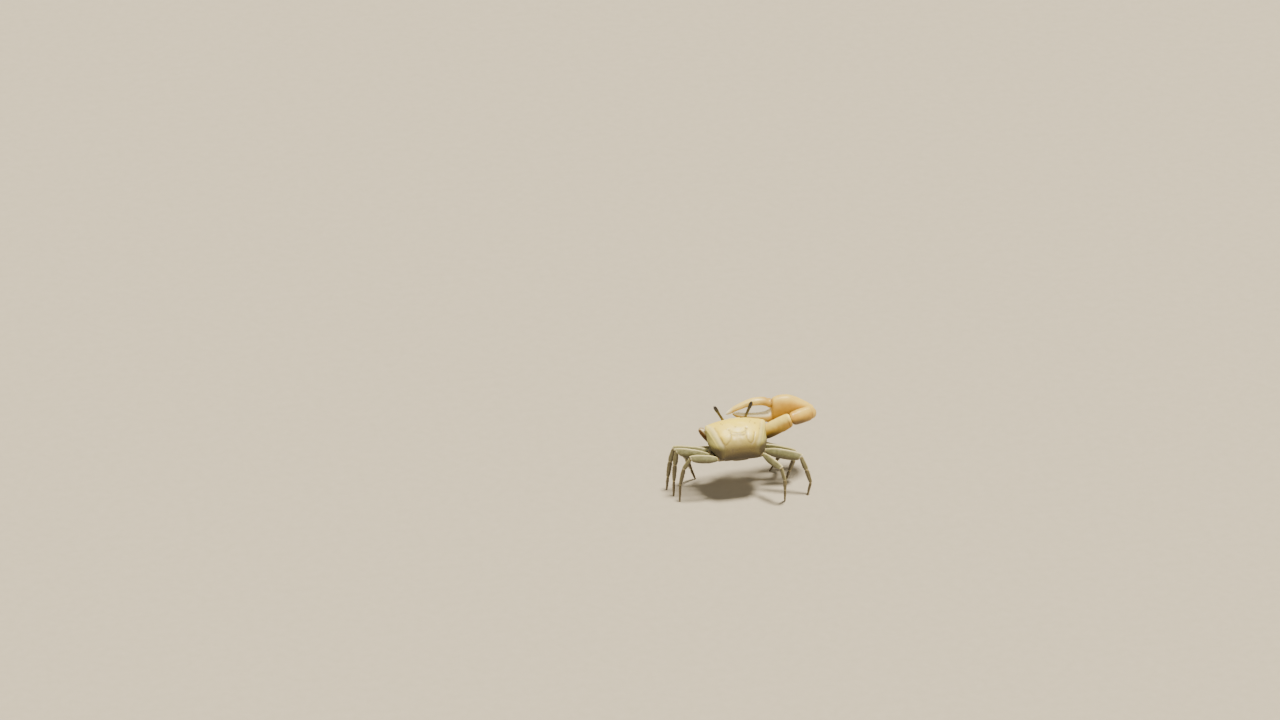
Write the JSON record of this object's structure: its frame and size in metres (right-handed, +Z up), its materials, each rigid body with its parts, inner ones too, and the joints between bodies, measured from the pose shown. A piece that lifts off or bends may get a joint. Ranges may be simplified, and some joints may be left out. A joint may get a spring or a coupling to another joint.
{
  "type": "fiddler crab",
  "caption": "Life-size still model of a male fiddler crab standing with its great claw held across its front.",
  "frame": {"origin": "centre of the bounding box's footprint, on the floor under the feet", "axes": "-Y the way the crab faces, +X its left side, +Z up"},
  "size_m": [0.049, 0.0232, 0.0295],
  "materials": {
    "back_shell": "satin cream-yellow shell",
    "breast": "satin pale underside shell",
    "leg": "satin greenish grey shell with cream joints",
    "claw": "satin golden-cream shell, finely granular",
    "small_claw": "satin brown shell with a pale edge",
    "stalk": "dark olive-brown shell",
    "eye": "wet dark compound eye"
  },
  "bodies": {
    "root": {"back_shell": "back_shell", "breast_plate": "breast", "tail_flap": "breast", "left_mouth_plate": "breast", "right_mouth_plate": "breast", "left_antenna": "leg", "right_antenna": "leg", "left_eyestalk": "stalk", "right_eyestalk": "stalk", "left_eye": "eye", "right_eye": "eye", "great_claw_merus": "claw", "great_claw_carpus": "claw", "great_claw_hand": "claw", "great_claw_finger": "claw", "small_claw_merus": "small_claw", "small_claw_carpus": "small_claw", "small_claw_hand": "small_claw", "small_claw_finger": "small_claw", "left_leg_1_merus": "leg", "left_leg_1_carpus": "leg", "left_leg_1_propodus": "leg", "left_leg_1_dactyl": "leg", "left_leg_2_merus": "leg", "left_leg_2_carpus": "leg", "left_leg_2_propodus": "leg", "left_leg_2_dactyl": "leg", "left_leg_3_merus": "leg", "left_leg_3_carpus": "leg", "left_leg_3_propodus": "leg", "left_leg_3_dactyl": "leg", "left_leg_4_merus": "leg", "left_leg_4_carpus": "leg", "left_leg_4_propodus": "leg", "left_leg_4_dactyl": "leg", "right_leg_1_merus": "leg", "right_leg_1_carpus": "leg", "right_leg_1_propodus": "leg", "right_leg_1_dactyl": "leg", "right_leg_2_merus": "leg", "right_leg_2_carpus": "leg", "right_leg_2_propodus": "leg", "right_leg_2_dactyl": "leg", "right_leg_3_merus": "leg", "right_leg_3_carpus": "leg", "right_leg_3_propodus": "leg", "right_leg_3_dactyl": "leg", "right_leg_4_merus": "leg", "right_leg_4_carpus": "leg", "right_leg_4_propodus": "leg", "right_leg_4_dactyl": "leg"}
  },
  "joints": []
}
